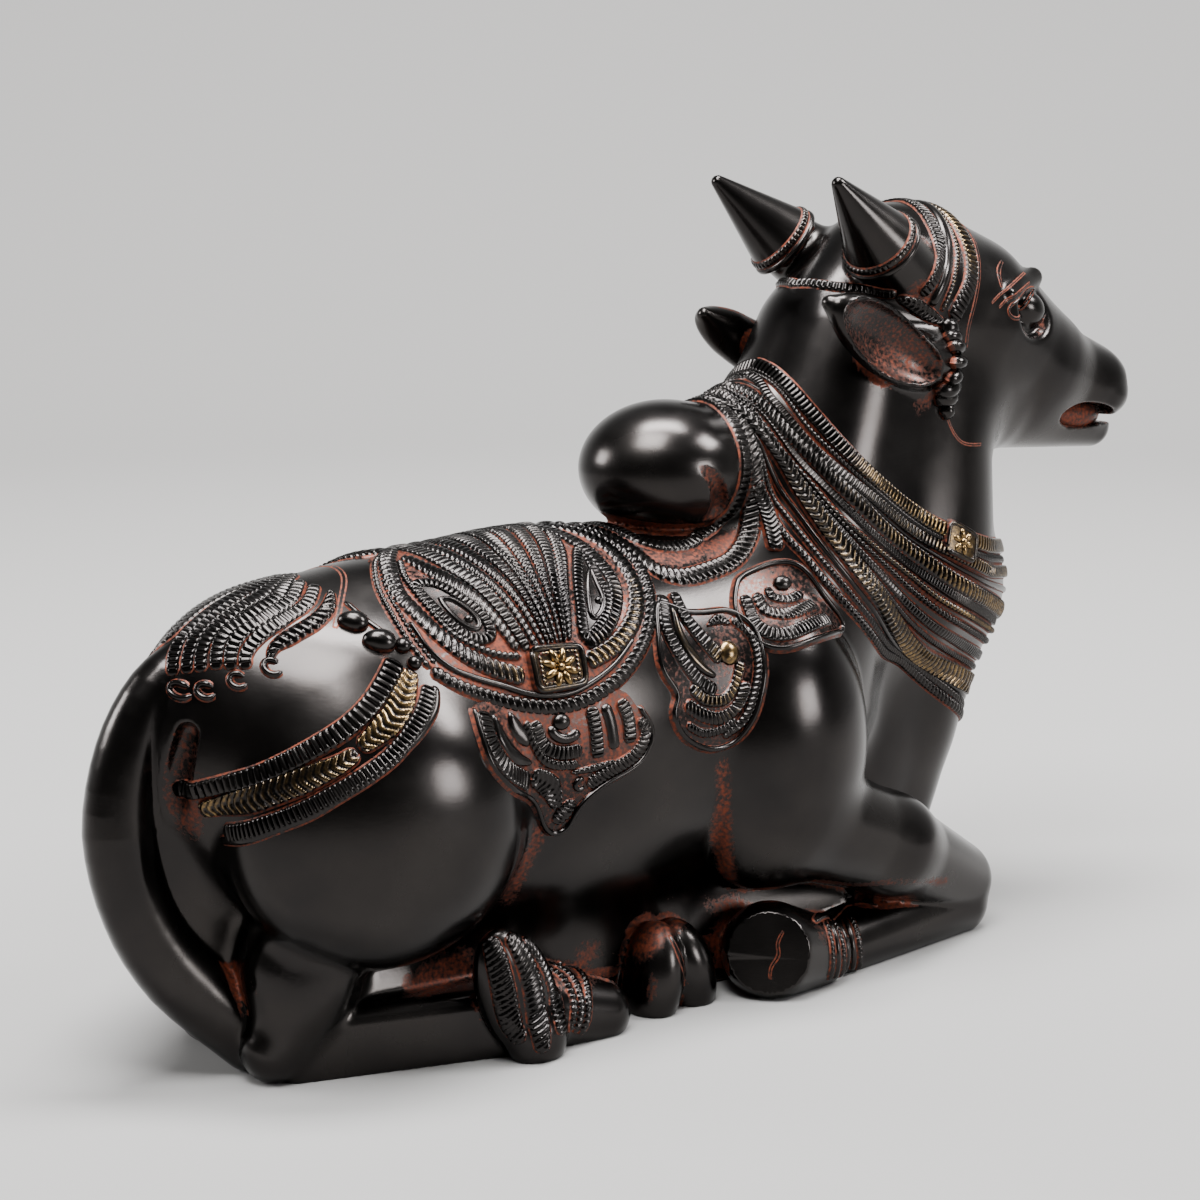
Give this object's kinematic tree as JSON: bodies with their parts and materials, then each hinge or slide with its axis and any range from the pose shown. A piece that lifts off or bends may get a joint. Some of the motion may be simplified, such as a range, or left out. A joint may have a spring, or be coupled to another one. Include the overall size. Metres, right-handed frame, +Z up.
{
  "type": "nandi bull figure",
  "caption": "Seated sacred bull in dark polished brass, humped and horned, with carved garlands, saddle cloth, pendants and crupper bands, lying flat on its folded legs.",
  "frame": {"origin": "centre of the bounding box, on the ground plane under the figure", "axes": "+X towards the bull's head, +Y its left flank, +Z up"},
  "size_m": [0.3554, 0.1082, 0.2268],
  "materials": {
    "cast_brass": "black-brown patina, polished on the plain skin, red-brown oxide in the carved grooves, bare brass on worn raised bands"
  },
  "bodies": {
    "root": {"nandi_bull": "cast_brass"}
  },
  "joints": []
}
